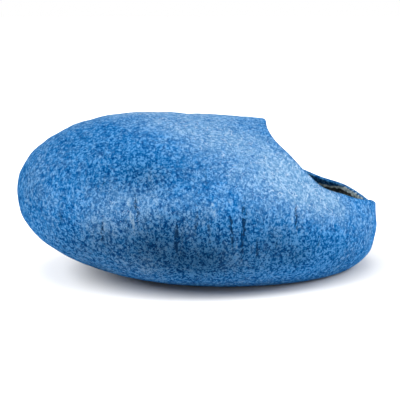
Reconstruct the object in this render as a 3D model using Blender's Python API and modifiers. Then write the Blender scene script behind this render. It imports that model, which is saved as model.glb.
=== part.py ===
"""Felt cat cave: a pebble-shaped house of thick wet-felted wool, closed at its back end, with one
wide mouth cut slantwise through its front end.

It is one seamless shell. Its outer surface is a round body whose cross-sections are superellipses,
seen as a distance from one centre along every ray. Towards the rim the surface leaves the body
smoothly, so that it ends on the mouth's own edge: the lip turns up a little and the shoulders
beside it fall in. Rings run round the shell from the rim, stand upright along its middle, where
the furrows in its sides are upright too, and close at the back.

Metres. +X is the mouth's end, +Y the object's left side, +Z up. The origin is on the floor, under
the middle of the outer shell.
"""

from math import cos, pi, radians, sin

import bpy
import numpy as np

OBJECT = "felt_cat_cave"

# The body, outside. Its sides meet at the equator, which sinks towards the mouth.
HALF_LENGTH = 0.273
HALF_WIDTH = 0.195
EQUATOR_HEIGHT = 0.1055
EQUATOR_SLOPE = -0.0745
# How a half measure falls from its full value, where it is greatest, to nothing at both ends:
# the place along X, then how full the curve is towards the back and towards the front.
WIDTH_CURVE = (0.0, 2.02, 1.765)
CROWN_RISE, CROWN_CURVE = 0.1245, (-0.0535, 2.025, 4.50)
KEEL_DROP, KEEL_CURVE = 0.1200, (0.0265, 2.37, 2.87)
# The superellipse's power, above and below the equator: 2 is round, more is fuller.
SECTION_ABOVE, SECTION_BELOW = 1.985, 2.415
FLOOR_ROUND = 0.006  # how far above and below the floor the belly bends to lie flat on it

# The felt, and the round worked on its cut edge.
WALL = 0.007
RIM_ROUND = 0.0026
RIM_ROUND_STEPS = 2

# The mouth's edge, from the top of the lip down one side to the chin. The other side mirrors it.
RIM = (
    # along, out, up
    (0.0940, 0.0000, 0.2236),
    (0.0888, 0.0400, 0.2150),
    (0.0920, 0.0750, 0.2018),
    (0.1066, 0.1000, 0.1852),
    (0.1260, 0.1135, 0.1630),
    (0.1512, 0.1150, 0.1402),
    (0.1824, 0.1085, 0.1279),
    (0.2113, 0.0898, 0.1164),
    (0.2414, 0.0650, 0.1080),
    (0.2593, 0.0340, 0.0975),
    (0.2623, 0.0000, 0.0935),
)
RIM_STEPS = 24  # points that the smooth curve gets between two rows

# Rays start at this centre. Round the mouth they are counted about an axis that points out
# through it: how far a ray opens from the axis, and its turn round it.
CENTRE = np.array((0.0, 0.0, 0.100))
AXIS_TILT = radians(22)
FAN_STRETCH = np.array((1.35, 1.0, 0.8))
RIM_REACH = radians(28)  # how far from the rim the body's surface is drawn to it
FARTHEST = 0.45

# Soft upright furrows left by the wool as it shrank, and swellings, which are less than nothing
# deep. A furrow leans along X as it goes up.
FURROWS = (
    # side, along, lowest, highest, lean, half_width, depth
    (-1, -0.1610, 0.056, 0.134, 0.00, 0.0085, 0.0018),
    (-1, -0.1215, 0.082, 0.162, -0.11, 0.0095, -0.0018),
    (-1, -0.0655, 0.030, 0.128, -0.10, 0.0085, 0.0036),
    (-1, -0.0200, 0.106, 0.174, -0.26, 0.0085, -0.0016),
    (-1, 0.0218, 0.028, 0.152, -0.04, 0.0085, 0.0036),
    (-1, 0.0560, 0.036, 0.104, 0.06, 0.0085, 0.0020),
    (-1, 0.0965, 0.064, 0.146, -0.19, 0.0090, 0.0030),
    (1, -0.1450, 0.046, 0.126, 0.08, 0.0090, 0.0020),
    (1, -0.0880, 0.054, 0.146, -0.06, 0.0100, -0.0018),
    (1, -0.0340, 0.030, 0.122, 0.05, 0.0085, 0.0034),
    (1, 0.0480, 0.034, 0.142, -0.08, 0.0090, 0.0030),
    (1, 0.1120, 0.058, 0.132, 0.10, 0.0090, 0.0022),
)
# Broad, shallow waves that keep the hand-made form from being even.
WAVES = (
    # along, across, up: how many radians a metre; where it starts; how far it moves the wall
    ((19.0, 7.0, 5.0), 0.6, 0.0011),
    ((-8.0, 23.0, 11.0), 2.1, 0.0009),
    ((11.0, -13.0, 31.0), 4.0, 0.0008),
)
RELIEF_LEAVES_RIM = radians(12)  # furrows and waves are whole this far from the rim
RELIEF_LEAVES_FLOOR = 0.03

# The mesh: rings between the rim and the first upright ring, upright ones, and those that close
# the back.
MERIDIANS = 48
RIM_RINGS, UPRIGHT_RINGS, BACK_RINGS = 17, 30, 8
FIRST_UPRIGHT, LAST_UPRIGHT = 0.050, -0.215
SECTION_STEPS = 400
HALVINGS = 24

WOOL_BLUE = (0.085, 0.235, 0.560, 1.0)
WOOL_ROUGHNESS = 0.95


def clear_scene():
    for thing in list(bpy.data.objects):
        bpy.data.objects.remove(thing, do_unlink=True)


def share(along, curve):
    """How much of a half measure is left at a place along X: 1 at its greatest, 0 at the ends."""
    place, back_power, front_power = curve
    behind = along < place
    reach = np.where(behind, place + HALF_LENGTH, HALF_LENGTH - place)
    power = np.where(behind, back_power, front_power)
    away = np.clip(np.abs(along - place) / reach, 0, 1)
    return (1 - away**power) ** (1 / power)


def inside_body(points):
    along, out, up = np.moveaxis(points, -1, 0)
    height = up - EQUATOR_HEIGHT - EQUATOR_SLOPE * along
    above = height >= 0
    crown, keel = CROWN_RISE * share(along, CROWN_CURVE), KEEL_DROP * share(along, KEEL_CURVE)
    within_ends = np.abs(along) < HALF_LENGTH
    tall = np.where(within_ends, np.where(above, crown, keel), 1)
    wide = np.where(within_ends, HALF_WIDTH * share(along, WIDTH_CURVE), 1)
    power = np.where(above, SECTION_ABOVE, SECTION_BELOW)
    section = np.abs(out / wide) ** power + np.abs(height / tall) ** power
    return within_ends & (section < 1)


def distance_to_body(rays):
    """How far the body's surface is from the centre along each ray, found by halving."""
    near = np.zeros(rays.shape[:-1])
    far = np.full(rays.shape[:-1], FARTHEST)
    for _ in range(HALVINGS):
        middle = (near + far) / 2
        inside = inside_body(CENTRE + rays * middle[..., None])
        near = np.where(inside, middle, near)
        far = np.where(inside, far, middle)
    return (near + far) / 2


def towards(points):
    rays = points - CENTRE
    return rays / np.linalg.norm(rays, axis=-1, keepdims=True)


def opening_and_turn(rays):
    """How far each ray opens from the mouth's axis, and its turn round it, up being nought."""
    axis = np.array((cos(AXIS_TILT), 0, sin(AXIS_TILT)))
    across_up = np.array((-sin(AXIS_TILT), 0, cos(AXIS_TILT)))
    rays = rays / FAN_STRETCH
    rays /= np.linalg.norm(rays, axis=-1, keepdims=True)
    return np.arccos(np.clip(rays @ axis, -1, 1)), np.arctan2(rays[..., 1], rays @ across_up)


def smooth_loop(corners):
    """A closed Catmull-Rom curve through the corners."""
    step = np.linspace(0, 1, RIM_STEPS, endpoint=False)[:, None]
    before, here = np.roll(corners, 1, axis=0), corners
    after, beyond = np.roll(corners, -1, axis=0), np.roll(corners, -2, axis=0)
    spans = []
    for a, b, c, d in zip(before, here, after, beyond):
        bend = 2 * a - 5 * b + 4 * c - d
        twist = 3 * b - a - 3 * c + d
        spans.append(b + ((c - a) * step + bend * step**2 + twist * step**3) / 2)
    return np.concatenate(spans)


def evenly_spaced(loop, count):
    """That many points at equal steps along a closed curve."""
    closed = np.concatenate((loop, loop[:1]))
    lengths = np.linalg.norm(np.diff(closed, axis=0), axis=1)
    along = np.concatenate(([0], np.cumsum(lengths)))
    at = np.linspace(0, along[-1], count, endpoint=False)
    return np.stack([np.interp(at, along, closed[:, k]) for k in range(3)], axis=1)


def mouth_rim():
    """The mouth's edge as a smooth loop, from the top of the lip down the left side and back."""
    side = np.array(RIM)
    other_side = side[-2:0:-1] * (1, -1, 1)
    return smooth_loop(np.concatenate((side, other_side)))


def upright_section(along):
    """The body's cross-section at a place along X, from its top down the left side and back."""
    turn = np.linspace(0, 2 * pi, SECTION_STEPS, endpoint=False)
    over, out = np.cos(turn), np.sin(turn)
    crown, keel = CROWN_RISE * share(along, CROWN_CURVE), KEEL_DROP * share(along, KEEL_CURVE)
    power = 2 / np.where(over > 0, SECTION_ABOVE, SECTION_BELOW)
    tall = np.where(over > 0, crown, keel)
    up = EQUATOR_HEIGHT + EQUATOR_SLOPE * along + tall * np.sign(over) * np.abs(over) ** power
    wide = HALF_WIDTH * share(along, WIDTH_CURVE) * np.sign(out) * np.abs(out) ** power
    return np.stack((np.full(turn.shape, along), wide, on_floor(up)), axis=1)


def on_floor(up):
    """Heights with all that would be under the floor laid flat on it, through a soft bend."""
    bending = (up + FLOOR_ROUND) ** 2 / (4 * FLOOR_ROUND)
    return np.where(up >= FLOOR_ROUND, up, np.where(up > -FLOOR_ROUND, bending, 0))


def between(first, last, steps):
    """Rays turned evenly from the first ones towards the last ones, which are left out."""
    angle = np.arccos(np.clip((first * last).sum(axis=1), -1, 1))[:, None]
    shares = np.linspace(0, 1, steps, endpoint=False)
    return [
        (np.sin((1 - part) * angle) * first + np.sin(part * angle) * last) / np.sin(angle)
        for part in shares
    ]


def soft_step(value):
    value = np.clip(value, 0, 1)
    return value * value * (3 - 2 * value)


def relief(points):
    """How far the wall is drawn in at each point by the furrows and the waves."""
    along, out, up = np.moveaxis(points, -1, 0)
    depth = np.zeros(along.shape)
    for side, place, lowest, highest, lean, half_width, deepest in FURROWS:
        middle, half_height = (lowest + highest) / 2, (highest - lowest) / 2
        off = (along - place - lean * (up - middle)) / half_width
        fade = np.clip(1 - ((up - middle) / half_height) ** 2, 0, 1) ** 1.5
        depth += np.where(side * out > 0, deepest * np.exp(-(off**2)) * fade, 0)
    for pace, start, height in WAVES:
        depth += height * np.sin(points @ np.array(pace) + start)
    return depth


def shell_points(rays, rim):
    """Where the outer surface lies along the rays, given the rim that it ends on."""
    rim_opening, rim_turn = opening_and_turn(towards(rim))
    to_rim = np.linalg.norm(rim - CENTRE, axis=1) - distance_to_body(towards(rim))
    order = np.argsort(rim_turn)
    rim_turn, rim_opening, to_rim = rim_turn[order], rim_opening[order], to_rim[order]

    opening, turn = opening_and_turn(rays)
    past_rim = opening - np.interp(turn, rim_turn, rim_opening, period=2 * pi)
    drawn = np.interp(turn, rim_turn, to_rim, period=2 * pi)
    fade = np.clip(1 - np.clip(past_rim / RIM_REACH, 0, 1) ** 2, 0, 1) ** 2
    reach = distance_to_body(rays) + drawn * fade
    points = CENTRE + rays * reach[..., None]

    whole = soft_step(past_rim / RELIEF_LEAVES_RIM) * soft_step(points[..., 2] / RELIEF_LEAVES_FLOOR)
    points -= rays * (relief(points) * whole)[..., None]
    points[..., 2] = on_floor(points[..., 2])
    return points


def shell_rings():
    """The outer surface's rings, from the rim to the last one before the closed end, and that end."""
    rim = mouth_rim()
    stations = np.linspace(FIRST_UPRIGHT, LAST_UPRIGHT, UPRIGHT_RINGS)
    upright = [towards(evenly_spaced(upright_section(at), MERIDIANS)) for at in stations]
    back_end = np.array((-HALF_LENGTH, 0, EQUATOR_HEIGHT - EQUATOR_SLOPE * HALF_LENGTH))
    to_back = np.repeat(towards(back_end)[None], MERIDIANS, axis=0)

    rays = between(towards(evenly_spaced(rim, MERIDIANS)), upright[0], RIM_RINGS)
    rays += upright[:-1]
    rays += between(upright[-1], to_back, BACK_RINGS)
    rings = shell_points(np.array(rays), rim)
    return rings, shell_points(to_back[:1], rim)[0]


def felt_shell(collection):
    rings, back_end = shell_rings()
    points = np.concatenate((rings.reshape(-1, 3), back_end[None]))
    middle = (points.min(axis=0) + points.max(axis=0)) / 2
    points -= middle * (1, 1, 0)

    faces = []
    last = len(points) - 1
    for ring in range(len(rings)):
        for side in range(MERIDIANS):
            here = ring * MERIDIANS + side
            beside = ring * MERIDIANS + (side + 1) % MERIDIANS
            if ring + 1 < len(rings):
                faces.append((here, beside, beside + MERIDIANS, here + MERIDIANS))
            else:
                faces.append((here, beside, last))

    mesh = bpy.data.meshes.new("felt_shell")
    mesh.from_pydata(points.tolist(), [], faces)
    mesh.shade_smooth()
    shell = bpy.data.objects.new("felt_shell", mesh)
    collection.objects.link(shell)

    thick = shell.modifiers.new("thickness of the felt", "SOLIDIFY")
    thick.thickness = WALL
    thick.offset = -1
    thick.use_even_offset = True
    rounded = shell.modifiers.new("rounded edge of the mouth", "BEVEL")
    rounded.width = RIM_ROUND
    rounded.segments = RIM_ROUND_STEPS
    rounded.limit_method = "ANGLE"
    rounded.angle_limit = radians(60)
    return shell


def wool():
    material = bpy.data.materials.new("blue_wool_felt")
    material.use_nodes = True
    shader = material.node_tree.nodes["Principled BSDF"]
    shader.inputs["Base Color"].default_value = WOOL_BLUE
    shader.inputs["Roughness"].default_value = WOOL_ROUGHNESS
    shader.inputs["Metallic"].default_value = 0
    return material


def build():
    clear_scene()
    collection = bpy.data.collections.new(OBJECT)
    bpy.context.scene.collection.children.link(collection)
    shell = felt_shell(collection)
    shell.data.materials.append(wool())


build()
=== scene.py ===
"""Looks of the felt cat cave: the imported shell's form as fine hand-felted wool.

The shell is one closed skin, laid over the same surface as the CAD solid with finer rings, its
furrows deepened by narrow creases. Blue wool covers the outside and turns over the mouth's edge,
an off-white band follows it, and dark natural wool lines the room. Loose curled fibres lie on
both faces.

Metres, in the frame of the CAD: +X is the mouth's end, +Y the object's left side, +Z up.
"""

from math import cos, pi, radians, sin

import bpy
import numpy as np
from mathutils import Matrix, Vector
from mathutils.bvhtree import BVHTree

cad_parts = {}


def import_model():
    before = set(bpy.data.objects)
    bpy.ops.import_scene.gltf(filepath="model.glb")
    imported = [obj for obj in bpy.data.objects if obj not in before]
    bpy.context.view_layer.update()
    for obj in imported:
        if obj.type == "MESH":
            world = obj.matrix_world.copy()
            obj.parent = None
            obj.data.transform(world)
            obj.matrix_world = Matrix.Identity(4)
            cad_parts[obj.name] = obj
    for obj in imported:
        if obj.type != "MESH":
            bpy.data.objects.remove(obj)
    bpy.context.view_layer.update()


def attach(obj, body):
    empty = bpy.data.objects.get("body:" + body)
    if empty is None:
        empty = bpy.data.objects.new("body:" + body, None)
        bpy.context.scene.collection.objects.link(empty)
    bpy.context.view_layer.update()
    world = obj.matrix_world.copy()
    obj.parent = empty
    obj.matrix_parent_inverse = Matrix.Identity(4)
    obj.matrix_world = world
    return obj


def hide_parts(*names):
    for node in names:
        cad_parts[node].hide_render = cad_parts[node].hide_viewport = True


# The form, as in the CAD. The body's sides meet at the equator, which sinks towards the mouth.
HALF_LENGTH = 0.273
HALF_WIDTH = 0.195
EQUATOR_HEIGHT = 0.1055
EQUATOR_SLOPE = -0.0745
# How a half measure falls from its full value to nothing at both ends: the place along X where
# it is greatest, then how full the curve is towards the back and towards the front.
WIDTH_CURVE = (0.0, 2.02, 1.765)
CROWN_RISE, CROWN_CURVE = 0.1245, (-0.0535, 2.025, 4.50)
KEEL_DROP, KEEL_CURVE = 0.1200, (0.0265, 2.37, 2.87)
# The superellipse's power, above and below the equator: 2 is round, more is fuller.
SECTION_ABOVE, SECTION_BELOW = 1.985, 2.415
FLOOR_ROUND = 0.006  # how far above and below the floor the belly bends to lie flat on it
WALL = 0.007
EDGE_POWER = 2.6  # of the mouth's rounded edge: 2 is round, more is squarer

# The mouth's edge, from the top of the lip down one side to the chin. The other side mirrors it.
RIM = (
    # along, out, up
    (0.0940, 0.0000, 0.2236),
    (0.0888, 0.0400, 0.2150),
    (0.0920, 0.0750, 0.2018),
    (0.1066, 0.1000, 0.1852),
    (0.1260, 0.1135, 0.1630),
    (0.1512, 0.1150, 0.1402),
    (0.1824, 0.1085, 0.1279),
    (0.2113, 0.0898, 0.1164),
    (0.2414, 0.0650, 0.1080),
    (0.2593, 0.0340, 0.0975),
    (0.2623, 0.0000, 0.0935),
)
RIM_STEPS = 24  # points that the smooth curve gets between two rows

# Rays start at this centre. Round the mouth they are counted about an axis that points out
# through it: how far a ray opens from the axis, and its turn round it.
CENTRE = np.array((0.0, 0.0, 0.100))
AXIS_TILT = radians(22)
FAN_STRETCH = np.array((1.35, 1.0, 0.8))  # the body's proportions, which angles leave out
RIM_REACH = radians(28)  # how far from the rim the body's surface is drawn to it
FARTHEST, HALVINGS = 0.45, 24  # how far out the surface is looked for, and how finely

# Soft upright furrows left by the wool as it shrank, and swellings, which have a depth below 0.
# The lean is how far a furrow goes along X for each metre up. These are the CAD's.
FURROWS = (
    # side, along, lowest, highest, lean, half_width, depth
    (-1, -0.1610, 0.056, 0.134, 0.00, 0.0085, 0.0018),
    (-1, -0.1215, 0.082, 0.162, -0.11, 0.0095, -0.0018),
    (-1, -0.0655, 0.030, 0.128, -0.10, 0.0085, 0.0036),
    (-1, -0.0200, 0.106, 0.174, -0.26, 0.0085, -0.0016),
    (-1, 0.0218, 0.028, 0.152, -0.04, 0.0085, 0.0036),
    (-1, 0.0560, 0.036, 0.104, 0.06, 0.0085, 0.0020),
    (-1, 0.0965, 0.064, 0.146, -0.19, 0.0090, 0.0030),
    (1, -0.1450, 0.046, 0.126, 0.08, 0.0090, 0.0020),
    (1, -0.0880, 0.054, 0.146, -0.06, 0.0100, -0.0018),
    (1, -0.0340, 0.030, 0.122, 0.05, 0.0085, 0.0034),
    (1, 0.0480, 0.034, 0.142, -0.08, 0.0090, 0.0030),
    (1, 0.1120, 0.058, 0.132, 0.10, 0.0090, 0.0022),
)
# Narrow creases within and beside the furrows, where the wool has pulled together. Their depth
# and a painted shade make them dark. A raised pleat of loose wool has a depth below 0 and is
# pale, with a painted highlight.
CREASES = (
    # side, along, lowest, highest, lean, half_width, depth
    (-1, -0.2100, 0.086, 0.150, 0.00, 0.0028, 0.0008),
    (-1, -0.1560, 0.072, 0.120, 0.00, 0.0028, 0.0014),
    (-1, -0.1530, 0.134, 0.184, 0.03, 0.0030, 0.0006),
    (-1, -0.1250, 0.078, 0.142, -0.25, 0.0030, 0.0008),
    (-1, -0.1195, 0.086, 0.152, -0.18, 0.0026, -0.0015),
    (-1, -0.1130, 0.090, 0.166, -0.14, 0.0030, 0.0010),
    (-1, -0.1010, 0.092, 0.132, -0.05, 0.0028, 0.0009),
    (-1, -0.0965, 0.092, 0.138, -0.10, 0.0028, -0.0007),
    (-1, -0.0950, 0.142, 0.190, 0.22, 0.0028, 0.0005),
    (-1, -0.0625, 0.052, 0.122, 0.03, 0.0028, 0.0024),
    (-1, -0.0570, 0.046, 0.112, 0.06, 0.0026, -0.0007),
    (-1, -0.0520, 0.046, 0.084, 0.10, 0.0028, 0.0007),
    (-1, -0.0380, 0.088, 0.136, 0.12, 0.0028, 0.0011),
    (-1, -0.0290, 0.104, 0.138, -0.16, 0.0026, -0.0011),
    (-1, -0.0225, 0.062, 0.146, -0.11, 0.0028, 0.0009),
    (-1, -0.0210, 0.148, 0.198, 0.00, 0.0028, 0.0006),
    (-1, -0.0170, 0.112, 0.152, -0.25, 0.0028, -0.0011),
    (-1, 0.0070, 0.116, 0.152, -0.16, 0.0028, -0.0009),
    (-1, 0.0085, 0.064, 0.138, -0.10, 0.0030, 0.0015),
    (-1, 0.0160, 0.044, 0.122, 0.08, 0.0026, -0.0008),
    (-1, 0.0250, 0.040, 0.154, 0.05, 0.0030, 0.0024),
    (-1, 0.0385, 0.044, 0.104, 0.00, 0.0026, -0.0007),
    (-1, 0.0450, 0.046, 0.098, -0.08, 0.0028, 0.0011),
    (-1, 0.0575, 0.060, 0.094, 0.04, 0.0030, 0.0005),
    (-1, 0.0720, 0.048, 0.092, 0.00, 0.0030, 0.0010),
    (-1, 0.0950, 0.074, 0.136, -0.05, 0.0028, -0.0008),
    (-1, 0.1010, 0.076, 0.142, -0.03, 0.0028, 0.0014),
    (-1, 0.1085, 0.064, 0.136, -0.14, 0.0028, -0.0007),
    (-1, 0.1370, 0.058, 0.092, 0.10, 0.0034, 0.0008),
    (-1, 0.1590, 0.070, 0.110, -0.10, 0.0030, -0.0008),
    (1, -0.1810, 0.082, 0.138, 0.05, 0.0028, 0.0007),
    (1, -0.1450, 0.060, 0.112, 0.08, 0.0030, 0.0014),
    (1, -0.1240, 0.090, 0.148, -0.12, 0.0028, -0.0010),
    (1, -0.0880, 0.070, 0.132, -0.06, 0.0028, -0.0013),
    (1, -0.0810, 0.078, 0.138, -0.08, 0.0028, 0.0012),
    (1, -0.0340, 0.048, 0.118, 0.05, 0.0030, 0.0022),
    (1, -0.0270, 0.060, 0.112, 0.08, 0.0026, -0.0007),
    (1, -0.0110, 0.066, 0.124, 0.12, 0.0028, 0.0010),
    (1, 0.0180, 0.102, 0.146, -0.18, 0.0028, -0.0009),
    (1, 0.0480, 0.050, 0.130, -0.06, 0.0030, 0.0020),
    (1, 0.0560, 0.062, 0.112, -0.10, 0.0028, -0.0009),
    (1, 0.0790, 0.056, 0.104, 0.04, 0.0028, 0.0010),
    (1, 0.1120, 0.070, 0.124, 0.06, 0.0030, 0.0014),
    (1, 0.1480, 0.072, 0.112, -0.08, 0.0030, -0.0008),
)
WHOLE_CREASE = 0.002  # the depth that is painted as 1
ENDS_FADE = 1.5  # how gently furrows and creases end: more is gentler

# Broad, shallow waves that keep the hand-made form from being even. These are the CAD's.
WAVES = (
    # along, across, up: how many radians a metre; where it starts; how far it moves the wall
    ((19.0, 7.0, 5.0), 0.6, 0.0011),
    ((-8.0, 23.0, 11.0), 2.1, 0.0009),
    ((11.0, -13.0, 31.0), 4.0, 0.0008),
)
# Small lumps of the felt itself, about 0.5 mm high: the sum of many waves that run every way.
LUMP_WAVES = 40
SHORTEST_LUMP, LONGEST_LUMP = 0.016, 0.050
LUMP_WAVE_HEIGHT = 0.00011  # of a wave of mean length
LUMP_SEED = 5
# Furrows, creases, waves and lumps are whole this far from the rim and from the floor.
RELIEF_LEAVES_RIM, RELIEF_LEAVES_FLOOR = radians(12), 0.03

# The fine mesh: rings close to the rim, between there and the first upright ring, upright ones,
# and those that close the back.
MERIDIANS = 240
EDGE_STEPS = (0.0, 0.0003, 0.0009, 0.0017, 0.0026, 0.0036)  # metres in from the rim
RIM_RINGS, UPRIGHT_RINGS, BACK_RINGS = 84, 144, 24
INNER_SKIPS = 2  # the inner face has every second ring
FIRST_UPRIGHT, LAST_UPRIGHT = 0.050, -0.215
SECTION_STEPS = 1200

# How hazy with pale fibres the blue wool is. An amount below 0 makes it clearer. Out is measured
# from the middle plane, so both sides are alike.
USUAL_HAZE = 0.06
HAZES = (
    # along, out, up, reach, how much
    # The first six run along the crest: pale fibres, and a painted sheen of light grazing the top.
    (-0.205, 0.000, 0.212, 0.042, 0.20),
    (-0.150, 0.000, 0.229, 0.040, 0.24),
    (-0.100, 0.000, 0.235, 0.040, 0.54),
    (-0.050, 0.000, 0.234, 0.042, 0.56),
    (0.005, 0.000, 0.230, 0.042, 0.38),
    (0.058, 0.000, 0.225, 0.040, 0.38),
    (-0.030, 0.070, 0.218, 0.045, 0.46),
    (0.035, 0.090, 0.205, 0.055, 0.68),
    (0.112, 0.140, 0.158, 0.050, 1.25),
    (0.160, 0.135, 0.126, 0.034, 0.75),
    (-0.070, 0.068, 0.217, 0.036, 0.32),
    (-0.022, 0.115, 0.192, 0.030, 0.24),
    (0.020, 0.150, 0.162, 0.042, 0.40),
    (0.058, 0.172, 0.137, 0.032, 0.26),
    (0.178, 0.130, 0.108, 0.026, 0.20),
    (-0.110, 0.165, 0.133, 0.038, 0.50),
    (-0.158, 0.150, 0.119, 0.028, 0.44),
    (-0.212, 0.110, 0.128, 0.024, 0.26),
    (-0.055, 0.178, 0.136, 0.022, 0.26),
    (-0.050, 0.185, 0.103, 0.014, 0.20),
    (-0.020, 0.188, 0.128, 0.018, 0.14),
    (0.222, 0.095, 0.078, 0.040, 0.26),
    (-0.240, 0.070, 0.172, 0.034, 0.24),
    (-0.110, 0.160, 0.034, 0.030, 0.30),
    (-0.112, 0.145, 0.176, 0.034, -0.26),
    (0.055, 0.183, 0.105, 0.032, -0.15),
    (0.135, 0.155, 0.070, 0.048, -0.36),
    (0.118, 0.165, 0.109, 0.026, 0.12),
    (-0.050, 0.165, 0.058, 0.052, -0.14),
)

# Where the wool of both sides is darker: a painted shade, mostly low down where less light
# falls on it. The patches high up are wool of a darker blue.
PAINTED_SHADE_PATCHES = (
    # along, up, reach along, reach up, how much
    (-0.025, 0.060, 0.150, 0.052, 0.57),
    (-0.085, 0.078, 0.080, 0.040, 0.38),
    (-0.040, 0.058, 0.050, 0.026, 0.20),
    (-0.075, 0.106, 0.040, 0.018, 0.17),
    (0.014, 0.112, 0.050, 0.016, 0.06),
    (0.085, 0.064, 0.050, 0.030, 0.22),
    (0.165, 0.045, 0.060, 0.030, 0.16),
    (-0.190, 0.060, 0.055, 0.042, 0.32),
    (-0.158, 0.088, 0.022, 0.018, 0.16),
    (-0.016, 0.066, 0.022, 0.018, 0.14),
    (0.188, 0.026, 0.034, 0.024, 0.16),
    (-0.100, 0.084, 0.026, 0.028, 0.22),
    (-0.010, 0.044, 0.100, 0.012, 0.13),
    (-0.165, 0.024, 0.032, 0.014, 0.60),
    (-0.050, 0.121, 0.040, 0.012, 0.12),
    (0.038, 0.118, 0.016, 0.012, 0.10),
    (0.070, 0.088, 0.022, 0.022, 0.18),
    (0.105, 0.054, 0.025, 0.018, 0.20),
    (-0.104, 0.170, 0.042, 0.024, 0.26),
    (-0.045, 0.176, 0.040, 0.020, 0.12),
    (-0.175, 0.200, 0.070, 0.036, 0.12),
    (-0.255, 0.140, 0.030, 0.050, 0.16),
    (-0.164, 0.160, 0.036, 0.018, 0.15),
    (-0.096, 0.170, 0.028, 0.014, 0.10),
)

# The blue wool's darkest, middle and lightest colours, where it is clear and where it is hazy.
CLEAR_WOOL = ((0.0005, 0.048, 0.205), (0.007, 0.138, 0.400), (0.095, 0.320, 0.670))
HAZY_WOOL = ((0.050, 0.165, 0.370), (0.130, 0.296, 0.510), (0.310, 0.480, 0.690))
# The colour of the painted shade in the creases.
CREASE_SHADE = (0.001, 0.014, 0.050)
# The colours of the band inside the mouth and of the room.
OFF_WHITE = (0.850, 0.980, 1.000)
COOL_GREY = (0.320, 0.480, 0.540)
DARK_WOOL = (0.024, 0.034, 0.042)
BROWN_WOOL = (0.070, 0.076, 0.066)
# The colours of the loose fibres.
MID_BLUE = (0.005, 0.130, 0.410)
SKY_BLUE = (0.040, 0.290, 0.680)
PALE_BLUE = (0.210, 0.410, 0.700)
WHITE_FIBRE = (0.640, 0.760, 0.900)
BLACK = (0.0, 0.0, 0.0)

# The pattern of the blue wool: how far each layer takes its colour from the usual level, which
# runs from 0 at the darkest to 1 at the lightest.
USUAL_LEVEL = 0.41
GRAINS = (
    # size, how much it is drawn out along Z, amount either way
    (0.0150, 1.0, 0.10),
    (0.0036, 4.5, 0.14),
    (0.0031, 1.2, 0.19),
    (0.0018, 1.0, 0.21),
)
GRAIN_DETAIL, GRAIN_RANGE = 2.0, (0.25, 0.75)
THREADS = (
    # size, how much it is drawn out along Z, width as a share of the noise, amount
    (0.0045, 1.0, 0.11, 0.56),
    (0.0040, 1.3, 0.12, 0.56),
    (0.0048, 1.0, 0.11, -0.22),
    (0.0042, 1.3, 0.12, -0.22),
)
THREAD_DETAIL, THREAD_BEND = 1.0, 0.6
THREAD_BREAKS = (0.44, 0.60)  # threads fade out as a second noise falls between these values
FIRST_GRAIN_SEED, FIRST_THREAD_SEED = 30, 40
DEEPEST_SHADE = 0.3  # the share of light left there
MORE_IN_SHADE = 2.1  # how much more the pattern tells there than in full light

# The wool loses its haze and takes a painted shade as it turns in over the rim, between these
# distances past it.
TURNS_FROM, TURNS_TO = -0.0070, 0.0010
UNDER_RIM = 0.72  # how much light the painted shade leaves where it has turned in

# Creases and pleats, by their painted depth. They come and go in patches drawn out along Z.
CREASE_DRAWN_OUT = 2.0
STRONGEST_CREASE = 1.8  # how many times its painted depth a crease has in its strongest patch
CREASE_SHADE_RANGE, MOST_CREASE_SHADE = (0.05, 0.85), 0.88  # depths of the first and of the strongest painted shade, and how strong it is
PLEAT_RANGE = (-0.9, -0.05)  # depths of a whole pleat and of none
# A pleat is pale loose wool, made lighter still by a painted highlight on its ridge.
PLEAT_LIGHT, PLEAT_HAZE = 0.45, 0.6  # how much lighter and hazier the wool is on a whole pleat

# Patterns of noise: size, seed, detail, and the two values of the noise between which the pattern
# goes from none to all.
HAZE_PATCHES = (0.0300, 1.0, 3.0, 0.30, 0.70)
HAZE_SPECKS = (0.0055, 8.0, 2.0, 0.30, 0.70)
BAND_PATCHES = (0.0050, 12.0, 3.0, 0.36, 0.56)
ROOM_PATCHES = (0.0090, 13.0, 3.0, 0.40, 0.65)
BLUE_RAGS = (0.0070, 14.0, 3.0, 0.25, 0.75)
OFF_WHITE_RAGS = (0.0070, 15.0, 3.0, 0.25, 0.75)
CREASE_PATCHES = (0.0030, 17.0, 2.0, 0.36, 0.64)
PATCH_HAZE, SPECK_HAZE = 0.12, 0.20  # how far the first two take the haze either way
# The curls of the inner wools: size, width as a share of the noise, seed.
CURLS = (0.0060, 0.070, 11.0)
CURLS_ON_BAND, CURLS_IN_ROOM = 0.8, 0.16

# The bands round the inside of the mouth: how far past the rim they end, usually and at the chin.
BLUE_ENDS = (0.0125, 0.0022)
OFF_WHITE_ENDS = (0.0160, 0.0080)
BANDS_NARROW = (0.212, 0.248)  # the places along X between which they narrow towards the chin
RAGGED = 0.0036  # how far a ragged end wanders in all
BAND_BLEND = 0.0010  # how far either way two bands blend

# The nap, and how the light falls on it.
NAP_SIZE, NAP_SEED, NAP_DETAIL = 0.0016, 16.0, 3.0
LEVEL_IN_NAP = 0.6  # how much higher the lightest wool stands, as a share of the nap
NAP_STRENGTH, NAP_HEIGHT = 0.55, 0.0007
NAP_RANGE, NAP_ROUGHNESS = (0.3, 0.7), (0.86, 1.0)
SHEEN, SHEEN_ROUGHNESS, SHEEN_TINT = 0.05, 0.45, (0.20, 0.55, 1.0, 1.0)

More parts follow.
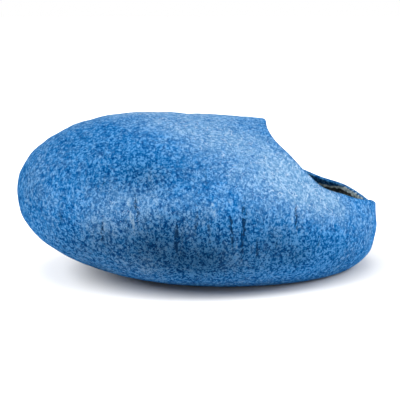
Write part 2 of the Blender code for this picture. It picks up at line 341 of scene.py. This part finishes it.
# Loose curled fibres that lie on the felt, their pointed ends worked into it.
FIBRES = (
    # name, how many, whether inside the shell, whether more of them in the hazes, two colours
    ("pale_fibres", 4500, False, True, SKY_BLUE, WHITE_FIBRE),
    ("blue_fibres", 4000, False, False, MID_BLUE, PALE_BLUE),
    ("inner_fibres", 1500, True, False, BROWN_WOOL, COOL_GREY),
)
LEAST_HAZE_WEIGHT = 0.1  # how much clear wool counts there, where the thickest haze counts 1
FIBRE_RINGS, FIBRE_SIDES = 4, 3
SHORTEST_FIBRE, LONGEST_FIBRE = 0.0050, 0.0130
THINNEST_FIBRE, THICKEST_FIBRE = 0.00014, 0.00034  # radius at the middle
LOWEST_LIFT, HIGHEST_LIFT = 0.0000, 0.0005  # of the middle, off the felt
FIBRE_CURL, FIBRE_WOBBLE = radians(26), radians(16)  # turn from one ring to the next
END_DEPTH = 0.0002  # of the ends, in the felt
FIBRE_SEED = 11
# The tone goes from a fibre's first colour to its second.
TONE_SIZE, TONE_DETAIL, FIRST_TONE_SEED = 0.010, 3.0, 20
TONE_RANGE, TONE_ROUGHNESS = (0.65, 1.35), (0.80, 0.95)

# The studio.
FLOOR_REACH = 30.0
FLOOR_DEPTH = 0.0002  # how far below the sole it lies, so that the two faces don't fight
FLOOR_COLOUR = (0.60, 0.60, 0.60, 1)
HORIZON_WHITE, SKY_GREY = (1.0, 1.0, 1.0), (0.50, 0.50, 0.50)
HORIZON_RANGE = (0.02, 0.20)  # heights between which the sky goes over to grey; 1 is overhead
LAMPS = (
    # name, strength, how many degrees wide, where its light comes from, whether only for the floor
    ("key", 2.4, 40, (-0.05, -0.15, 0.97), False),
    ("right", 0.9, 60, (0.90, -0.40, 0.40), False),
    ("left_for_floor", 6.0, 40, (-0.73, -0.12, 0.62), True),
    ("right_for_floor", 2.8, 40, (0.75, -0.05, 0.60), True),
)

# The camera, from the photograph: where it looks, from how far, and its turn and height.
LOOK_AT = (0.0041, 0.0011, 0.115)
CAMERA_DISTANCE = 1.4
CAMERA_TURN = radians(-9.7374)
CAMERA_HEIGHT = radians(11.2926)
FOCAL_LENGTH, SENSOR_WIDTH = 84.0, 36.0
SHIFT_X, SHIFT_Y = -0.0075, -0.0204


# ---------------------------------------------------------------- the form


def share(along, curve):
    """How much of a half measure is left at a place along X: 1 at its greatest, 0 at the ends."""
    place, back_power, front_power = curve
    behind = along < place
    reach = np.where(behind, place + HALF_LENGTH, HALF_LENGTH - place)
    power = np.where(behind, back_power, front_power)
    away = np.clip(np.abs(along - place) / reach, 0, 1)
    return (1 - away**power) ** (1 / power)


def crown_and_keel(along):
    """How far the body reaches above and below its equator at a place along X."""
    return CROWN_RISE * share(along, CROWN_CURVE), KEEL_DROP * share(along, KEEL_CURVE)


def inside_body(points):
    """Whether each point lies in the closed body, before its mouth is cut."""
    along, out, up = np.moveaxis(points, -1, 0)
    height = up - EQUATOR_HEIGHT - EQUATOR_SLOPE * along
    above = height >= 0
    crown, keel = crown_and_keel(along)
    within_ends = np.abs(along) < HALF_LENGTH
    tall = np.where(within_ends, np.where(above, crown, keel), 1)
    wide = np.where(within_ends, HALF_WIDTH * share(along, WIDTH_CURVE), 1)
    power = np.where(above, SECTION_ABOVE, SECTION_BELOW)
    section = np.abs(out / wide) ** power + np.abs(height / tall) ** power
    return within_ends & (section < 1)


def distance_to_body(rays):
    """How far the body's surface is from the centre along each ray, found by halving."""
    near = np.zeros(rays.shape[:-1])
    far = np.full(rays.shape[:-1], FARTHEST)
    for _ in range(HALVINGS):
        middle = (near + far) / 2
        inside = inside_body(CENTRE + rays * middle[..., None])
        near = np.where(inside, middle, near)
        far = np.where(inside, far, middle)
    return (near + far) / 2


def unit(vectors):
    return vectors / np.linalg.norm(vectors, axis=-1, keepdims=True)


def towards(points):
    """Rays from the centre to the points."""
    return unit(points - CENTRE)


def opening_and_turn(rays):
    """How far each ray opens from the mouth's axis, and its turn round it, up being nought."""
    axis = np.array((cos(AXIS_TILT), 0, sin(AXIS_TILT)))
    across_up = np.array((-sin(AXIS_TILT), 0, cos(AXIS_TILT)))
    rays = unit(rays / FAN_STRETCH)
    return np.arccos(np.clip(rays @ axis, -1, 1)), np.arctan2(rays[..., 1], rays @ across_up)


def smooth_loop(corners):
    """A closed Catmull-Rom curve through the corners."""
    step = np.linspace(0, 1, RIM_STEPS, endpoint=False)[:, None]
    before, here = np.roll(corners, 1, axis=0), corners
    after, beyond = np.roll(corners, -1, axis=0), np.roll(corners, -2, axis=0)
    spans = []
    for a, b, c, d in zip(before, here, after, beyond):
        bend = 2 * a - 5 * b + 4 * c - d
        twist = 3 * b - a - 3 * c + d
        spans.append(b + ((c - a) * step + bend * step**2 + twist * step**3) / 2)
    return np.concatenate(spans)


def evenly_spaced(loop, count):
    """That many points at equal steps along a closed curve."""
    closed = np.concatenate((loop, loop[:1]))
    lengths = np.linalg.norm(np.diff(closed, axis=0), axis=1)
    along = np.concatenate(([0], np.cumsum(lengths)))
    at = np.linspace(0, along[-1], count, endpoint=False)
    return np.stack([np.interp(at, along, closed[:, k]) for k in range(3)], axis=1)


def mouth_rim():
    """The mouth's edge as a smooth loop, from the top of the lip down the left side and back."""
    side = np.array(RIM)
    other_side = side[-2:0:-1] * (1, -1, 1)
    return smooth_loop(np.concatenate((side, other_side)))


def upright_section(along):
    """The body's cross-section at a place along X, from its top down the left side and back."""
    turn = np.linspace(0, 2 * pi, SECTION_STEPS, endpoint=False)
    over, out = np.cos(turn), np.sin(turn)
    crown, keel = crown_and_keel(along)
    power = 2 / np.where(over > 0, SECTION_ABOVE, SECTION_BELOW)
    tall = np.where(over > 0, crown, keel)
    up = EQUATOR_HEIGHT + EQUATOR_SLOPE * along + tall * np.sign(over) * np.abs(over) ** power
    wide = HALF_WIDTH * share(along, WIDTH_CURVE) * np.sign(out) * np.abs(out) ** power
    return np.stack((np.full(turn.shape, along), wide, on_floor(up)), axis=1)


def on_floor(up):
    """Heights with all that would be under the floor laid flat on it, through a soft bend."""
    bending = (up + FLOOR_ROUND) ** 2 / (4 * FLOOR_ROUND)
    return np.where(up >= FLOOR_ROUND, up, np.where(up > -FLOOR_ROUND, bending, 0))


def between(first, last, shares):
    """Rays turned from the first ones towards the last ones, by each row of shares."""
    angle = np.arccos(np.clip((first * last).sum(axis=1), -1, 1))
    from_first, from_last = np.sin((1 - shares) * angle), np.sin(shares * angle)
    return (from_first[..., None] * first + from_last[..., None] * last) / np.sin(angle)[:, None]


def soft_step(value):
    """0 up to 0, 1 from 1 on, and soft at both ends between."""
    value = np.clip(value, 0, 1)
    return value * value * (3 - 2 * value)


def creasing(points, rows):
    """How far the wall is drawn in at each point by the furrows or creases in a table."""
    along, out, up = np.moveaxis(points, -1, 0)
    depth = np.zeros(along.shape)
    for side, place, lowest, highest, lean, half_width, deepest in rows:
        middle, half_height = (lowest + highest) / 2, (highest - lowest) / 2
        off = (along - place - lean * (up - middle)) / half_width
        fade = np.clip(1 - ((up - middle) / half_height) ** 2, 0, 1) ** ENDS_FADE
        depth += np.where(side * out > 0, deepest * np.exp(-(off**2)) * fade, 0)
    return depth


def lumps(points):
    """How far the small lumps of the felt stand out at each point."""
    random = np.random.default_rng(LUMP_SEED)
    ways = unit(random.normal(size=(LUMP_WAVES, 3)))
    lengths = random.uniform(SHORTEST_LUMP, LONGEST_LUMP, LUMP_WAVES)
    starts = random.uniform(0, 2 * pi, LUMP_WAVES)
    heights = LUMP_WAVE_HEIGHT * lengths / lengths.mean()
    return np.sin(points @ (ways * (2 * pi / lengths)[:, None]).T + starts) @ heights


def relief(points):
    """How far the wall is drawn in at each point."""
    depth = creasing(points, FURROWS) + creasing(points, CREASES) - lumps(points)
    for pace, start, height in WAVES:
        depth += height * np.sin(points @ np.array(pace) + start)
    return depth


def shell_points(rays, rim):
    """Where the outer surface lies along the rays, given the rim that it ends on."""
    rim_opening, rim_turn = opening_and_turn(towards(rim))
    to_rim = np.linalg.norm(rim - CENTRE, axis=1) - distance_to_body(towards(rim))
    order = np.argsort(rim_turn)
    rim_turn, rim_opening, to_rim = rim_turn[order], rim_opening[order], to_rim[order]

    opening, turn = opening_and_turn(rays)
    past_rim = opening - np.interp(turn, rim_turn, rim_opening, period=2 * pi)
    drawn = np.interp(turn, rim_turn, to_rim, period=2 * pi)
    fade = np.clip(1 - np.clip(past_rim / RIM_REACH, 0, 1) ** 2, 0, 1) ** 2
    reach = distance_to_body(rays) + drawn * fade
    points = CENTRE + rays * reach[..., None]

    whole = soft_step(past_rim / RELIEF_LEAVES_RIM)
    whole *= soft_step(points[..., 2] / RELIEF_LEAVES_FLOOR)
    points -= rays * (relief(points) * whole)[..., None]
    points[..., 2] = on_floor(points[..., 2])
    return points


def ring_rays(rim):
    """Rays to every ring of the mesh, from the rim to the last one before the closed end."""
    stations = np.linspace(FIRST_UPRIGHT, LAST_UPRIGHT, UPRIGHT_RINGS)
    upright = np.array([towards(evenly_spaced(upright_section(at), MERIDIANS)) for at in stations])
    edge = evenly_spaced(rim, MERIDIANS)
    to_edge, to_back = towards(edge), np.repeat(back_ray()[None], MERIDIANS, axis=0)

    span = np.linalg.norm(edge - CENTRE, axis=1) * np.arccos((to_edge * upright[0]).sum(axis=1))
    close = np.array(EDGE_STEPS)[:, None] / span
    further = np.linspace(0, 1, RIM_RINGS + 1)[1:-1, None]
    shares = np.concatenate((close, close[-1] + (1 - close[-1]) * further))
    closing = np.linspace(0, 1, BACK_RINGS, endpoint=False)[:, None]
    return np.concatenate(
        (between(to_edge, upright[0], shares), upright[:-1], between(upright[-1], to_back, closing))
    )


def back_ray():
    """The ray to the middle of the closed end."""
    return towards(np.array((-HALF_LENGTH, 0, EQUATOR_HEIGHT - EQUATOR_SLOPE * HALF_LENGTH)))


def grid_normals(rings, back_end):
    """Outward normals of the rings' points, from their neighbours."""
    beyond = np.repeat(back_end[None, None], MERIDIANS, axis=1)
    along = np.gradient(np.concatenate((rings, beyond)), axis=0)[:-1]
    around = np.roll(rings, -1, axis=1) - np.roll(rings, 1, axis=1)
    return unit(np.cross(around, along))


# ---------------------------------------------------------------- the shell's mesh


def shell_layers():
    """Points of the outer and the inner face, ring by ring from the rim, and the closed ends."""
    rim = mouth_rim()
    rings = shell_points(ring_rays(rim), rim)
    back_end = shell_points(back_ray()[None], rim)[0]
    middle = (rings.min(axis=(0, 1)) + rings.max(axis=(0, 1))) / 2 * (1, 1, 0)
    rings, back_end = rings - middle, back_end - middle

    normals = grid_normals(rings, back_end)
    steps = np.linalg.norm(np.diff(rings, axis=0), axis=2)
    from_rim = np.concatenate((np.zeros((1, MERIDIANS)), np.cumsum(steps, axis=0)))
    radius = WALL / 2
    short = np.clip(radius - from_rim, 0, radius)
    rounding = (radius - (radius**EDGE_POWER - short**EDGE_POWER) ** (1 / EDGE_POWER))[..., None]
    outer = rings - normals * rounding
    inner = rings - normals * (WALL - rounding)
    return outer, inner, from_rim, back_end, back_end - back_ray() * WALL


def shell_mesh(layers):
    """The closed skin: the outer face from its closed end to the rim, then the inner face back."""
    outer, inner, from_rim, outer_end, inner_end = layers
    edge = len(EDGE_STEPS)
    kept = np.concatenate((np.arange(1, edge), np.arange(edge, len(inner), INNER_SKIPS)))
    rows = np.concatenate((outer[::-1], inner[kept]))
    points = np.concatenate((rows.reshape(-1, 3), outer_end[None], inner_end[None]))
    turned_in = np.concatenate((-from_rim[::-1], from_rim[kept])).reshape(-1)
    turned_in = np.append(turned_in, (-from_rim.max(), from_rim.max()))

    mesh = bpy.data.meshes.new("wool_shell")
    mesh.from_pydata(points.tolist(), [], skin_faces(len(rows)))
    mesh.shade_smooth()
    paint(mesh, "turned_in", turned_in)
    paint(mesh, "haze", haze(points))
    paint(mesh, "shade", shade(points))
    paint(mesh, "crease", creasing(points, CREASES) / WHOLE_CREASE)
    return mesh


def skin_faces(count):
    """Faces between the rows of points, and from the first and the last row to the closed ends."""
    faces = []
    last = (count - 1) * MERIDIANS
    outer_end, inner_end = last + MERIDIANS, last + MERIDIANS + 1
    for side in range(MERIDIANS):
        beside = (side + 1) % MERIDIANS
        faces.append((outer_end, beside, side))
        for row in range(0, last, MERIDIANS):
            further = row + MERIDIANS
            faces.append((row + side, row + beside, further + beside, further + side))
        faces.append((inner_end, last + side, last + beside))
    return faces


def paint(mesh, name, values):
    """Gives each point of a mesh a value that its material can read."""
    layer = mesh.attributes.new(name, "FLOAT", "POINT")
    layer.data.foreach_set("value", np.asarray(values, dtype=np.float32))


def haze(points):
    """How hazy the blue wool is at each point."""
    one_side = np.abs(points) * (0, 1, 0) + points * (1, 0, 1)
    amount = np.full(points.shape[:-1], USUAL_HAZE)
    for along, out, up, reach, how_much in HAZES:
        away = np.linalg.norm(one_side - (along, out, up), axis=-1) / reach
        amount += how_much * np.exp(-(away**2))
    return amount


def shade(points):
    """How much of its light the wool keeps at each point, as a painted shade."""
    light = np.ones(len(points))
    for along, up, reach_along, reach_up, how_much in PAINTED_SHADE_PATCHES:
        away = ((points[:, 0] - along) / reach_along) ** 2 + ((points[:, 2] - up) / reach_up) ** 2
        light *= 1 - how_much * np.exp(-away)
    return light


# ---------------------------------------------------------------- loose fibres


def scattered(grid, weights, count, random):
    """Random places on a grid of points, more of them where the weights are greater."""
    across = np.roll(grid, -1, axis=1)[:-1] - grid[:-1]
    down = grid[1:] - grid[:-1]
    chance = np.linalg.norm(np.cross(across, down), axis=2) * weights[:-1]
    chosen = random.choice(chance.size, count, p=(chance / chance.sum()).ravel())
    corner, across, down = (part.reshape(-1, 3)[chosen] for part in (grid[:-1], across, down))
    return corner + across * random.random((count, 1)) + down * random.random((count, 1))


def on_felt(felt, points):
    """The felt's nearest points, and its normals there."""
    found = [felt.find_nearest(Vector(point))[:2] for point in points]
    return np.array([place for place, _ in found]), np.array([normal for _, normal in found])


def fibre_lines(felt, starts, random):
    """The middle line of each fibre over the felt, point by point, and the normals along it."""
    count = len(starts)
    stride = random.uniform(SHORTEST_FIBRE, LONGEST_FIBRE, (count, 1)) / (FIBRE_RINGS + 1)
    curl = random.normal(0, FIBRE_CURL, (count, 1))
    place, normal = on_felt(felt, starts)
    heading = unit(np.cross(normal, random.normal(size=(count, 3))))
    line, normals = [place], [normal]
    for _ in range(FIBRE_RINGS + 1):
        place, normal = on_felt(felt, place + heading * stride)
        turn = curl + random.normal(0, FIBRE_WOBBLE, (count, 1))
        heading = unit(heading - normal * (heading * normal).sum(axis=1, keepdims=True))
        heading = heading * np.cos(turn) + np.cross(normal, heading) * np.sin(turn)
        line.append(place)
        normals.append(normal)
    return np.array(line), np.array(normals)


def fibres(name, felt, starts, random):
    """A mesh of closed, tapering fibres that start at the given places."""
    line, normals = fibre_lines(felt, starts, random)
    count = len(starts)
    bow = np.sin(np.linspace(0, pi, FIBRE_RINGS + 2))[:, None, None]
    lift = random.uniform(LOWEST_LIFT, HIGHEST_LIFT, (count, 1))
    line = line + normals * (lift * bow - END_DEPTH * (1 - bow))
    beside = unit(np.cross(np.gradient(line, axis=0), normals))
    radius = random.uniform(THINNEST_FIBRE, THICKEST_FIBRE, (count, 1)) * bow**0.5
    turns = pi / 2 + 2 * pi * np.arange(FIBRE_SIDES) / FIBRE_SIDES
    rings = [(line + radius * (normals * sin(turn) + beside * cos(turn)))[1:-1] for turn in turns]

    rings = np.stack(rings, axis=1).reshape(-1, count, 3)
    points = np.concatenate((line[:1], rings, line[-1:])).transpose(1, 0, 2).reshape(-1, 3)
    mesh = bpy.data.meshes.new(name)
    mesh.from_pydata(points.tolist(), [], fibre_faces(count))
    mesh.shade_smooth()
    paint(mesh, "haze", haze(points))
    paint(mesh, "shade", shade(points))
    return mesh


def fibre_faces(count):
    """The fibres' faces. A fibre's points are its first end, ring after ring, and its last end."""
    last = 1 + FIBRE_RINGS * FIBRE_SIDES
    faces = []
    for side in range(FIBRE_SIDES):
        beside = (side + 1) % FIBRE_SIDES
        faces.append((0, 1 + side, 1 + beside))
        faces.append((last, last - FIBRE_SIDES + beside, last - FIBRE_SIDES + side))
        for ring in range(1, last - FIBRE_SIDES, FIBRE_SIDES):
            further = ring + FIBRE_SIDES
            faces.append((ring + side, further + side, further + beside))
            faces.append((ring + side, further + beside, ring + beside))
    first_points = (last + 1) * np.arange(count)
    return (np.array(faces)[None] + first_points[:, None, None]).reshape(-1, 3).tolist()


# ---------------------------------------------------------------- materials


def node(tree, kind, sockets, **settings):
    """Adds a node, with values or links for its input sockets."""
    made = tree.nodes.new(kind)
    for name, value in settings.items():
        setattr(made, name, value)
    for socket, value in sockets.items():
        if isinstance(value, bpy.types.NodeSocket):
            tree.links.new(value, made.inputs[socket])
        else:
            made.inputs[socket].default_value = value
    return made


def painted(tree, name):
    """A value painted on the mesh."""
    return node(tree, "ShaderNodeAttribute", {}, attribute_name=name).outputs["Fac"]


def noise(tree, place, size, seed, detail, distortion=0.0):
    """Smooth noise from 0 to 1, with lumps of about a size in metres."""
    sockets = {"Vector": place, "W": seed, "Scale": 1 / size}
    sockets |= {"Detail": detail, "Distortion": distortion}
    return node(tree, "ShaderNodeTexNoise", sockets, noise_dimensions="4D").outputs["Fac"]


def calc(tree, operation, first, second=0.0):
    """Works out one value from two."""
    return node(tree, "ShaderNodeMath", {0: first, 1: second}, operation=operation).outputs[0]


def total(tree, first, second):
    return calc(tree, "ADD", first, second)


def product(tree, first, second):
    return calc(tree, "MULTIPLY", first, second)


def spread(tree, value, low, high, to_low=0.0, to_high=1.0):
    """Maps a value from one range to another, softly at both ends."""
    sockets = {"Value": value, "From Min": low, "From Max": high}
    sockets |= {"To Min": to_low, "To Max": to_high}
    made = node(tree, "ShaderNodeMapRange", sockets, interpolation_type="SMOOTHSTEP")
    return made.outputs["Result"]


def pattern(tree, place, kind, to_low=0.0, to_high=1.0):
    """Noise of one of the kinds above, spread from one value to another."""
    size, seed, detail, low, high = kind
    return spread(tree, noise(tree, place, size, seed, detail), low, high, to_low, to_high)


def mixed(tree, factor, first, second):
    """One colour going over into another."""
    first, second = (
        colour if isinstance(colour, bpy.types.NodeSocket) else (*colour, 1.0)
        for colour in (first, second)
    )
    # A mix node has sockets for numbers and vectors before those for colours.
    made = node(tree, "ShaderNodeMix", {0: factor, 6: first, 7: second}, data_type="RGBA")
    return made.outputs[2]


def dimmed(tree, light, colour):
    """A colour with only a share of its light left."""
    return mixed(tree, light, BLACK, colour)


def ramp(tree, value, colours):
    """Colours at even steps of a value from 0 to 1."""
    made = node(tree, "ShaderNodeValToRGB", {"Fac": value})
    stops = made.color_ramp.elements
    for place in np.linspace(0, 1, len(colours))[1:-1]:
        stops.new(place)
    for stop, colour in zip(stops, colours):
        stop.color = (*colour, 1.0)
    return made.outputs["Color"]


def drawn_out(tree, place, times):
    """Places among which a pattern is drawn out along Z."""
    sockets = {0: place, 1: (1, 1, 1 / times)}
    return node(tree, "ShaderNodeVectorMath", sockets, operation="MULTIPLY").outputs[0]


def threads(tree, place, size, width, seed):
    """Short curling lines: 1 along their middle, 0 as far from it as their width."""
    field = noise(tree, place, size, seed, THREAD_DETAIL, THREAD_BEND)
    off = calc(tree, "ABSOLUTE", calc(tree, "SUBTRACT", field, 0.5))
    lines = spread(tree, off, 0.0, width, 1.0, 0.0)
    breaks = noise(tree, place, size, seed + 0.5, THREAD_DETAIL)
    return product(tree, lines, spread(tree, breaks, *THREAD_BREAKS))


def thread_level(tree, place, shade):
    """How light the blue wool is, from its grains and its light and deep threads."""
    level = 0.0
    for seed, (size, times, amount) in enumerate(GRAINS, FIRST_GRAIN_SEED):
        grain = noise(tree, drawn_out(tree, place, times), size, seed, GRAIN_DETAIL)
        level = total(tree, level, spread(tree, grain, *GRAIN_RANGE, -amount, amount))
    for seed, (size, times, width, amount) in enumerate(THREADS, FIRST_THREAD_SEED):
        thread = threads(tree, drawn_out(tree, place, times), size, width, seed)
        level = total(tree, level, product(tree, thread, amount))
    # The pattern tells more where the painted shade is deep.
    level = product(tree, level, spread(tree, shade, DEEPEST_SHADE, 1.0, MORE_IN_SHADE, 1.0))
    return total(tree, level, USUAL_LEVEL)


def blue_wool(tree, place, hazy, level):
    """Blue wools felted together, paler and greyer where they are hazy."""
    hazy = total(tree, hazy, pattern(tree, place, HAZE_PATCHES, -PATCH_HAZE, PATCH_HAZE))
    hazy = total(tree, hazy, pattern(tree, place, HAZE_SPECKS, -SPECK_HAZE, SPECK_HAZE))
    return mixed(tree, hazy, ramp(tree, level, CLEAR_WOOL), ramp(tree, level, HAZY_WOOL))


def outer_wool(tree, place, turned_in):
    """The outside's colour, with the painted shade, its creases and pleats, and how light the wool
    is.
    """
    outside = spread(tree, turned_in, TURNS_FROM, TURNS_TO, 1.0, 0.0)
    # The painted shade, deeper where the wool has turned in over the rim.
    shade = product(tree, painted(tree, "shade"), spread(tree, outside, 0.0, 1.0, UNDER_RIM, 1.0))
    streaky = drawn_out(tree, place, CREASE_DRAWN_OUT)
    uneven = pattern(tree, streaky, CREASE_PATCHES, 0.0, STRONGEST_CREASE)
    crease = product(tree, painted(tree, "crease"), uneven)
    pleat = spread(tree, crease, *PLEAT_RANGE, 1.0, 0.0)
    # A painted shade darkens the creases.
    crease_shade = spread(tree, crease, *CREASE_SHADE_RANGE, 0.0, MOST_CREASE_SHADE)

    # A painted highlight lightens the pleats, and their loose wool is hazier.
    level = total(tree, thread_level(tree, place, shade), product(tree, pleat, PLEAT_LIGHT))
    hazy = total(tree, painted(tree, "haze"), product(tree, pleat, PLEAT_HAZE))
    blue = blue_wool(tree, place, product(tree, hazy, outside), level)
    return mixed(tree, crease_shade, dimmed(tree, shade, blue), CREASE_SHADE), level


def inner_wools(tree, place):
    """The colours of the band inside the mouth and of the room."""
    curls = threads(tree, place, *CURLS)
    band = mixed(tree, pattern(tree, place, BAND_PATCHES), COOL_GREY, OFF_WHITE)
    band = mixed(tree, product(tree, curls, CURLS_ON_BAND), band, OFF_WHITE)
    room = mixed(tree, pattern(tree, place, ROOM_PATCHES), DARK_WOOL, BROWN_WOOL)
    room = mixed(tree, product(tree, curls, CURLS_IN_ROOM), room, OFF_WHITE)
    return band, room


def past_band(tree, place, turned_in, ends, rags):
    """0 before the end of a band and 1 past it, with a ragged edge between."""
    along = node(tree, "ShaderNodeSeparateXYZ", {0: place}).outputs["X"]
    ragged = pattern(tree, place, rags, -RAGGED / 2, RAGGED / 2)
    end = spread(tree, along, *BANDS_NARROW, *ends)
    past = calc(tree, "SUBTRACT", total(tree, turned_in, ragged), end)
    return spread(tree, past, -BAND_BLEND, BAND_BLEND)


def matt_material(name):
    """A material without any gloss, its node tree and its shader."""
    material = bpy.data.materials.new(name)
    material.use_nodes = True
    shader = material.node_tree.nodes["Principled BSDF"]
    shader.inputs["Specular IOR Level"].default_value = 0.0
    return material, material.node_tree, shader


def wool():
    """Felted wool: blue outside and over the rim, then off-white, then dark in the room."""
    material, tree, shader = matt_material("blue_wool_felt")
    place = node(tree, "ShaderNodeTexCoord", {}).outputs["Object"]
    turned_in = painted(tree, "turned_in")
    blue, level = outer_wool(tree, place, turned_in)
    band, room = inner_wools(tree, place)
    past_blue = past_band(tree, place, turned_in, BLUE_ENDS, BLUE_RAGS)
    past_off_white = past_band(tree, place, turned_in, OFF_WHITE_ENDS, OFF_WHITE_RAGS)
    colour = mixed(tree, past_blue, blue, mixed(tree, past_off_white, band, room))
    tree.links.new(colour, shader.inputs["Base Color"])

    nap = noise(tree, place, NAP_SIZE, NAP_SEED, NAP_DETAIL)
    height = total(tree, product(tree, level, LEVEL_IN_NAP), nap)
    sockets = {"Height": height, "Strength": NAP_STRENGTH, "Distance": NAP_HEIGHT}
    tree.links.new(node(tree, "ShaderNodeBump", sockets).outputs[0], shader.inputs["Normal"])
    tree.links.new(spread(tree, nap, *NAP_RANGE, *NAP_ROUGHNESS), shader.inputs["Roughness"])
    shader.inputs["Sheen Weight"].default_value = SHEEN
    shader.inputs["Sheen Roughness"].default_value = SHEEN_ROUGHNESS
    shader.inputs["Sheen Tint"].default_value = SHEEN_TINT
    return material


def fibre_wool(name, first, second, seed):
    """Loose wool that runs from one colour to another, nearer to the second where it is hazy, and
    darkened by the painted shade.
    """
    material, tree, shader = matt_material(name)
    place = node(tree, "ShaderNodeTexCoord", {}).outputs["Object"]
    tone = total(tree, noise(tree, place, TONE_SIZE, seed, TONE_DETAIL), painted(tree, "haze"))
    tone = spread(tree, tone, *TONE_RANGE)
    colour = dimmed(tree, painted(tree, "shade"), mixed(tree, tone, first, second))
    tree.links.new(colour, shader.inputs["Base Color"])
    tree.links.new(spread(tree, tone, 0.0, 1.0, *TONE_ROUGHNESS), shader.inputs["Roughness"])
    return material


# ---------------------------------------------------------------- the set


def floor():
    """A plain pale floor, wide enough to reach the horizon."""
    mesh = bpy.data.meshes.new("floor")
    near, far = -FLOOR_REACH, FLOOR_REACH
    corners = [(near, near, 0), (far, near, 0), (far, far, 0), (near, far, 0)]
    mesh.from_pydata(corners, [], [(0, 1, 2, 3)])
    plane = bpy.data.objects.new("floor", mesh)
    plane.location.z = -FLOOR_DEPTH
    bpy.context.scene.collection.objects.link(plane)
    material, _, shader = matt_material("pale_floor")
    shader.inputs["Base Color"].default_value = FLOOR_COLOUR
    shader.inputs["Roughness"].default_value = 1.0
    mesh.materials.append(material)
    return plane


def sky():
    """Soft light from above, white round the horizon."""
    world = bpy.data.worlds.new("studio")
    world.use_nodes = True
    tree = world.node_tree
    way = node(tree, "ShaderNodeTexCoord", {}).outputs["Generated"]
    up = node(tree, "ShaderNodeSeparateXYZ", {0: way}).outputs["Z"]
    colour = mixed(tree, spread(tree, up, *HORIZON_RANGE), HORIZON_WHITE, SKY_GREY)
    tree.links.new(colour, tree.nodes["Background"].inputs["Color"])
    bpy.context.scene.world = world


def sun(name, strength, angle, come_from, only_on=None):
    """A soft far light, which can be kept to one thing."""
    lamp = bpy.data.lights.new(name, "SUN")
    lamp.energy = strength
    lamp.angle = radians(angle)
    light = bpy.data.objects.new(name, lamp)
    light.rotation_euler = Vector(come_from).to_track_quat("Z", "Y").to_euler()
    bpy.context.scene.collection.objects.link(light)
    if only_on:
        lit = bpy.data.collections.new(name)
        lit.objects.link(only_on)
        light.light_linking.receiver_collection = lit


def camera():
    """The camera, turned about the point it looks at."""
    data = bpy.data.cameras.new("camera")
    data.sensor_width = SENSOR_WIDTH
    data.lens = FOCAL_LENGTH
    data.shift_x, data.shift_y = SHIFT_X, SHIFT_Y
    eye = bpy.data.objects.new("camera", data)
    eye.rotation_euler = (pi / 2 - CAMERA_HEIGHT, 0, CAMERA_TURN)
    level = cos(CAMERA_HEIGHT)
    back = Vector((sin(CAMERA_TURN) * level, -cos(CAMERA_TURN) * level, sin(CAMERA_HEIGHT)))
    eye.location = Vector(LOOK_AT) + back * CAMERA_DISTANCE
    bpy.context.scene.collection.objects.link(eye)
    bpy.context.scene.camera = eye


def show(name, mesh, material):
    """Puts a piece of the cave in the scene."""
    piece = bpy.data.objects.new(name, mesh)
    bpy.context.scene.collection.objects.link(piece)
    mesh.materials.append(material)
    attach(piece, "root")
    return piece


def loose_fibres(layers, felt):
    """The pieces of loose fibres, laid on the felt."""
    outer, inner = layers[:2]
    random = np.random.default_rng(FIBRE_SEED)
    pieces = []
    for seed, (name, count, inside, in_hazes, first, second) in enumerate(FIBRES, FIRST_TONE_SEED):
        grid = inner if inside else outer
        weights = np.clip(haze(grid), LEAST_HAZE_WEIGHT, 1) if in_hazes else np.ones(grid.shape[:2])
        starts = scattered(grid, weights, count, random)
        mesh = fibres(name, felt, starts, random)
        pieces.append(show(name, mesh, fibre_wool(name, first, second, seed)))
    return pieces


def main():
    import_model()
    layers = shell_layers()
    shell = show("wool_shell", shell_mesh(layers), wool())
    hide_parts("felt_shell")
    felt = BVHTree.FromObject(shell, bpy.context.evaluated_depsgraph_get())
    loose = loose_fibres(layers, felt)

    pale_floor = floor()
    sky()
    for name, strength, angle, come_from, for_floor in LAMPS:
        sun(name, strength, angle, come_from, pale_floor if for_floor else None)
    camera()
    bpy.context.scene.view_settings.view_transform = "Standard"


main()
